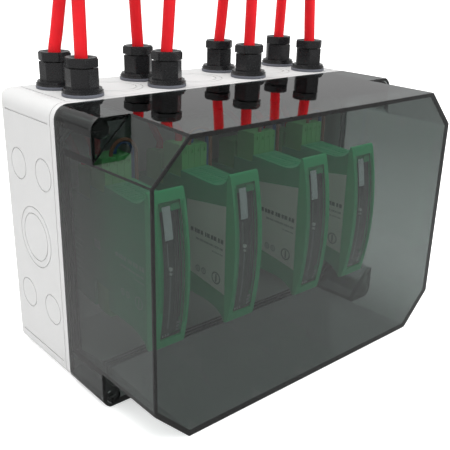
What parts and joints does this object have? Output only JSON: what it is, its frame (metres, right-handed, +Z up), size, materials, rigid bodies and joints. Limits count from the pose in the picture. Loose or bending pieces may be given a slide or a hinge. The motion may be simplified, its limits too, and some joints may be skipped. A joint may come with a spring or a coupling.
{
  "type": "dc combiner box",
  "caption": "Wall-mounted DC combiner enclosure with a deep clear cover, DIN-rail string modules inside and solar cables entering through glands in its top.",
  "frame": {"origin": "the middle of the bottom face: the middle of the width and of the whole depth, cover included, at the height of the lowest face", "axes": "+Z up; the transparent cover faces -Y and the wall is on the +Y side; +X is to the right when the cover is seen from the front"},
  "size_m": [0.254, 0.165, 0.288],
  "materials": {
    "base_grey": "fine-textured moulded plastic",
    "smoked_clear": "clear smoked polycarbonate",
    "seal_black": "soft rubber",
    "screw_smoke": "smoked moulded plastic",
    "rail_steel": "zinc-plated steel",
    "screw_steel": "zinc-plated steel",
    "module_green": "moulded plastic",
    "hood_green": "satin moulded plastic",
    "flap_clear": "clear plastic",
    "latch_green": "moulded plastic",
    "board_green": "solder-masked board",
    "header_green": "moulded plastic",
    "plug_green": "moulded plastic",
    "gland_black": "satin nylon",
    "gland_seal": "soft rubber",
    "washer_grey": "soft rubber",
    "cable_red": "cable sheath",
    "core_red": "core insulation",
    "wire_sleeve": "wire insulation",
    "connector_black": "moulded plastic"
  },
  "bodies": {
    "base": {"base_enclosure": "base_grey", "cover_seal": "seal_black", "din_rail": "rail_steel", "rail_screws": "screw_steel", "circuit_boards": "board_green", "pin_headers": "header_green", "top_plugs": "plug_green", "bottom_plugs": "plug_green", "gland_bodies": "gland_black", "gland_seals": "gland_seal", "gland_washers": "washer_grey", "gland_locknuts": "gland_black", "cable_cores": "core_red", "signal_wires": "wire_sleeve", "module_1_housing": "module_green", "module_1_hood": "hood_green", "module_2_housing": "module_green", "module_2_hood": "hood_green", "module_3_housing": "module_green", "module_3_hood": "hood_green", "module_4_housing": "module_green", "module_4_hood": "hood_green", "cable_1": "cable_red", "cable_connector_1": "connector_black", "cable_2": "cable_red", "cable_connector_2": "connector_black", "cable_3": "cable_red", "cable_connector_3": "connector_black", "cable_4": "cable_red", "cable_connector_4": "connector_black", "cable_5": "cable_red", "cable_connector_5": "connector_black", "cable_6": "cable_red", "cable_connector_6": "connector_black", "cable_7": "cable_red", "cable_connector_7": "connector_black", "cable_8": "cable_red", "cable_connector_8": "connector_black"},
    "cover": {"transparent_cover": "smoked_clear"},
    "screw_1": {"cover_screw_1": "screw_smoke"},
    "screw_2": {"cover_screw_2": "screw_smoke"},
    "screw_3": {"cover_screw_3": "screw_smoke"},
    "screw_4": {"cover_screw_4": "screw_smoke"},
    "cap_nut_1": {"gland_cap_nut_1": "gland_black"},
    "cap_nut_2": {"gland_cap_nut_2": "gland_black"},
    "cap_nut_3": {"gland_cap_nut_3": "gland_black"},
    "cap_nut_4": {"gland_cap_nut_4": "gland_black"},
    "cap_nut_5": {"gland_cap_nut_5": "gland_black"},
    "cap_nut_6": {"gland_cap_nut_6": "gland_black"},
    "cap_nut_7": {"gland_cap_nut_7": "gland_black"},
    "cap_nut_8": {"gland_cap_nut_8": "gland_black"},
    "flap_1": {"module_1_flap": "flap_clear"},
    "flap_2": {"module_2_flap": "flap_clear"},
    "flap_3": {"module_3_flap": "flap_clear"},
    "flap_4": {"module_4_flap": "flap_clear"},
    "foot_latch_1": {"module_1_foot_latch": "latch_green"},
    "foot_latch_2": {"module_2_foot_latch": "latch_green"},
    "foot_latch_3": {"module_3_foot_latch": "latch_green"},
    "foot_latch_4": {"module_4_foot_latch": "latch_green"}
  },
  "joints": [
    {"name": "cover_lift", "type": "slide", "parent": "base", "child": "cover", "axis": [0, -1, 0], "range_m": [0, 0.1]},
    {"name": "cover_screw_1_turn", "type": "hinge", "parent": "cover", "child": "screw_1", "pos_m": [-0.1195, -0.0291, 0.0075], "axis": [0, -1, 0], "continuous": true},
    {"name": "cover_screw_2_turn", "type": "hinge", "parent": "cover", "child": "screw_2", "pos_m": [0.1195, -0.0291, 0.0075], "axis": [0, -1, 0], "continuous": true},
    {"name": "cover_screw_3_turn", "type": "hinge", "parent": "cover", "child": "screw_3", "pos_m": [-0.1195, -0.0291, 0.1725], "axis": [0, -1, 0], "continuous": true},
    {"name": "cover_screw_4_turn", "type": "hinge", "parent": "cover", "child": "screw_4", "pos_m": [0.1195, -0.0291, 0.1725], "axis": [0, -1, 0], "continuous": true},
    {"name": "gland_cap_nut_1_turn", "type": "hinge", "parent": "base", "child": "cap_nut_1", "pos_m": [-0.098, 0.028, 0.2], "axis": [0, 0, 1], "continuous": true},
    {"name": "gland_cap_nut_2_turn", "type": "hinge", "parent": "base", "child": "cap_nut_2", "pos_m": [-0.098, 0.061, 0.2], "axis": [0, 0, 1], "continuous": true},
    {"name": "gland_cap_nut_3_turn", "type": "hinge", "parent": "base", "child": "cap_nut_3", "pos_m": [-0.036, 0.028, 0.2], "axis": [0, 0, 1], "continuous": true},
    {"name": "gland_cap_nut_4_turn", "type": "hinge", "parent": "base", "child": "cap_nut_4", "pos_m": [-0.036, 0.061, 0.2], "axis": [0, 0, 1], "continuous": true},
    {"name": "gland_cap_nut_5_turn", "type": "hinge", "parent": "base", "child": "cap_nut_5", "pos_m": [0.036, 0.028, 0.2], "axis": [0, 0, 1], "continuous": true},
    {"name": "gland_cap_nut_6_turn", "type": "hinge", "parent": "base", "child": "cap_nut_6", "pos_m": [0.036, 0.061, 0.2], "axis": [0, 0, 1], "continuous": true},
    {"name": "gland_cap_nut_7_turn", "type": "hinge", "parent": "base", "child": "cap_nut_7", "pos_m": [0.098, 0.028, 0.2], "axis": [0, 0, 1], "continuous": true},
    {"name": "gland_cap_nut_8_turn", "type": "hinge", "parent": "base", "child": "cap_nut_8", "pos_m": [0.098, 0.061, 0.2], "axis": [0, 0, 1], "continuous": true},
    {"name": "module_1_flap_tilt", "type": "hinge", "parent": "base", "child": "flap_1", "pos_m": [-0.09, -0.0449, 0.0476], "axis": [1, 0, 0], "range_deg": [0, 20]},
    {"name": "module_2_flap_tilt", "type": "hinge", "parent": "base", "child": "flap_2", "pos_m": [-0.033, -0.0449, 0.0476], "axis": [1, 0, 0], "range_deg": [0, 20]},
    {"name": "module_3_flap_tilt", "type": "hinge", "parent": "base", "child": "flap_3", "pos_m": [0.03, -0.0449, 0.0476], "axis": [1, 0, 0], "range_deg": [0, 20]},
    {"name": "module_4_flap_tilt", "type": "hinge", "parent": "base", "child": "flap_4", "pos_m": [0.079, -0.0449, 0.0476], "axis": [1, 0, 0], "range_deg": [0, 20]},
    {"name": "module_1_foot_latch_pull", "type": "slide", "parent": "base", "child": "foot_latch_1", "axis": [0, 0, -1], "range_m": [0, 0.004], "stiffness_N_per_m": 1500, "springref_m": -0.001},
    {"name": "module_2_foot_latch_pull", "type": "slide", "parent": "base", "child": "foot_latch_2", "axis": [0, 0, -1], "range_m": [0, 0.004], "stiffness_N_per_m": 1500, "springref_m": -0.001},
    {"name": "module_3_foot_latch_pull", "type": "slide", "parent": "base", "child": "foot_latch_3", "axis": [0, 0, -1], "range_m": [0, 0.004], "stiffness_N_per_m": 1500, "springref_m": -0.001},
    {"name": "module_4_foot_latch_pull", "type": "slide", "parent": "base", "child": "foot_latch_4", "axis": [0, 0, -1], "range_m": [0, 0.004], "stiffness_N_per_m": 1500, "springref_m": -0.001}
  ]
}
